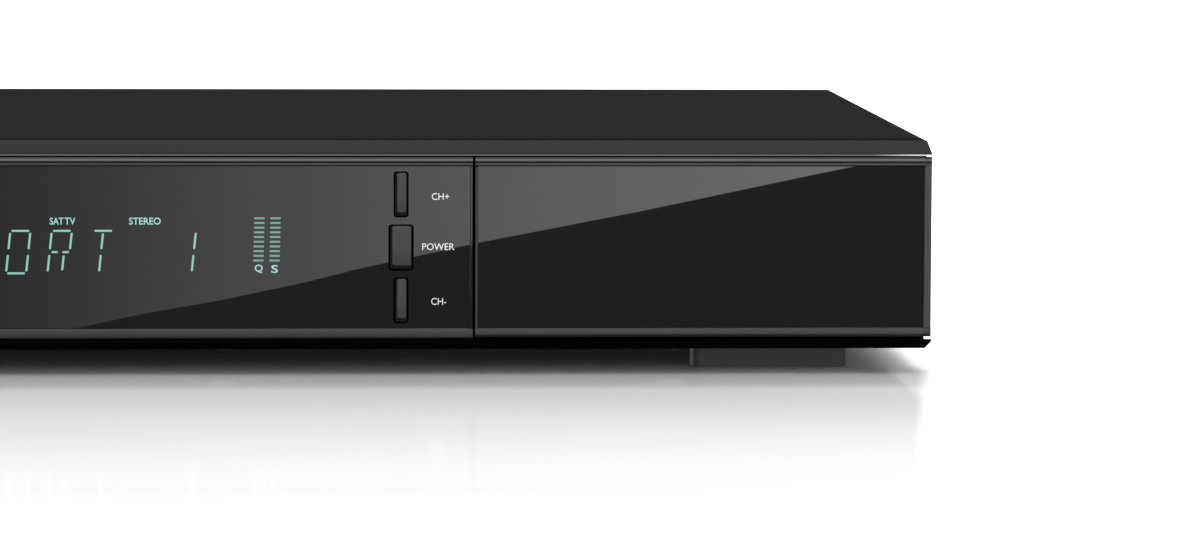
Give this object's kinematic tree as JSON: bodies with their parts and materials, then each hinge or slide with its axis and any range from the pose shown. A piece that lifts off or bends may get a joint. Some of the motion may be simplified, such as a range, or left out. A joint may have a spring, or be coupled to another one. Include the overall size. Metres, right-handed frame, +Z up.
{
  "type": "satellite television receiver",
  "caption": "Low black set-top television receiver with a glossy front, display window, three front keys, a drop-down door over card slots, and aerial and audio-video sockets behind.",
  "frame": {"origin": "on the surface it stands on, under the middle of its bounding box", "axes": "+Z up, the front faces -Y, +X to the right of someone who looks at the front"},
  "size_m": [0.28, 0.195, 0.046],
  "materials": {
    "cover_steel": "fine black powder coat",
    "plated_steel": "zinc-plated sheet",
    "screw_steel": "plated",
    "case_plastic": "satin dark grey",
    "gloss_inlay": "polished black acrylic",
    "key_plastic": "satin dark grey",
    "black_plastic": "moulded black",
    "foot_plastic": "matte black",
    "display_glass": "vacuum fluorescent tube",
    "lamp_plastic": "clear red",
    "circuit_board": "green solder mask",
    "power_board": "brown phenolic board",
    "chip_plastic": "black epoxy",
    "capacitor_sleeve": "printed sleeve",
    "aluminium_sink": "extruded",
    "ribbon_plastic": "flat cable",
    "white_plastic": "moulded natural nylon",
    "tinned_steel": "tinned sheet",
    "nickel_brass": "nickel-plated brass",
    "foam": "closed-cell foam",
    "ferrite": "ferrite core with tape",
    "fuse_glass": "glass tube with plated caps",
    "spring_steel": "spring steel"
  },
  "bodies": {
    "case": {"feet": "foot_plastic", "chassis_tray": "plated_steel", "top_cover": "cover_steel", "cover_screws": "screw_steel", "front_bezel": "case_plastic", "bay_plate": "case_plastic", "base_screws": "screw_steel", "display_frame": "case_plastic", "display_window": "gloss_inlay", "hinge_pins": "spring_steel", "latch_body": "black_plastic", "key_switches": "black_plastic", "front_board": "circuit_board", "display_tube": "display_glass", "display_holder": "foam", "remote_receiver": "black_plastic", "standby_lamp": "lamp_plastic", "main_board": "circuit_board", "board_standoffs": "nickel_brass", "board_screws": "screw_steel", "processor_heatsink": "aluminium_sink", "board_chips": "chip_plastic", "capacitors": "capacitor_sleeve", "ribbon_connectors": "white_plastic", "ribbon_cable": "ribbon_plastic", "ci_slot": "tinned_steel", "ci_connector": "black_plastic", "reader_bracket": "plated_steel", "card_reader": "black_plastic", "usb_ports": "nickel_brass", "tuners": "tinned_steel", "f_sockets": "nickel_brass", "f_nuts": "nickel_brass", "iec_sockets": "nickel_brass", "hdmi_port": "nickel_brass", "optical_port": "black_plastic", "network_port": "tinned_steel", "rca_block": "black_plastic", "scart_port": "black_plastic", "mains_inlet": "black_plastic", "mains_switch": "black_plastic", "power_board": "power_board", "mains_filter": "ferrite", "power_transformer": "ferrite", "power_heatsink": "aluminium_sink", "fuse": "fuse_glass", "power_harness": "black_plastic"},
    "door": {"door_frame": "case_plastic", "door_panel": "gloss_inlay"},
    "latch": {"latch_plunger": "white_plastic"},
    "channel_up_key": {"channel_up_button": "key_plastic", "channel_up_plunger": "white_plastic"},
    "power_key": {"power_button": "key_plastic", "power_plunger": "white_plastic"},
    "channel_down_key": {"channel_down_button": "key_plastic", "channel_down_plunger": "white_plastic"},
    "rocker": {"mains_rocker": "black_plastic"},
    "ejector": {"eject_button": "black_plastic"},
    "ejector_lever": {"eject_lever": "spring_steel"},
    "ejector_plate": {"eject_plate": "spring_steel"}
  },
  "joints": [
    {"name": "door_hinge", "type": "hinge", "parent": "case", "child": "door", "pos_m": [0.09498, -0.0946, 0.0101], "axis": [1, 0, 0], "range_deg": [0, 90]},
    {"name": "latch_slide", "type": "slide", "parent": "case", "child": "latch", "axis": [0, -1, 0], "range_m": [0, 0.002]},
    {"name": "channel_up_press", "type": "slide", "parent": "case", "child": "channel_up_key", "axis": [0, 1, 0], "range_m": [0, 0.0005], "stiffness_N_per_m": 1200, "springref_m": -0.0004},
    {"name": "power_press", "type": "slide", "parent": "case", "child": "power_key", "axis": [0, 1, 0], "range_m": [0, 0.0005], "stiffness_N_per_m": 1200, "springref_m": -0.0004},
    {"name": "channel_down_press", "type": "slide", "parent": "case", "child": "channel_down_key", "axis": [0, 1, 0], "range_m": [0, 0.0005], "stiffness_N_per_m": 1200, "springref_m": -0.0004},
    {"name": "mains_rocker_tilt", "type": "hinge", "parent": "case", "child": "rocker", "pos_m": [-0.099, 0.0855, 0.0284], "axis": [1, 0, 0], "range_deg": [-16, 0]},
    {"name": "eject_press", "type": "slide", "parent": "case", "child": "ejector", "axis": [0, 1, 0], "range_m": [0, 0.004]},
    {"name": "eject_lever_turn", "type": "hinge", "parent": "case", "child": "ejector_lever", "pos_m": [0.10625, -0.0379, 0.0201], "axis": [0, 0, 1], "range_deg": [0, 19.2]},
    {"name": "eject_plate_slide", "type": "slide", "parent": "case", "child": "ejector_plate", "axis": [0, -1, 0], "range_m": [0, 0.004]}
  ],
  "couplings": [
    {"joint": "latch_slide", "follows": "door_hinge", "m_per_rad": 0.001272},
    {"joint": "eject_lever_turn", "follows": "eject_press", "rad_per_m": 83.333},
    {"joint": "eject_plate_slide", "follows": "eject_press", "ratio": 1}
  ]
}
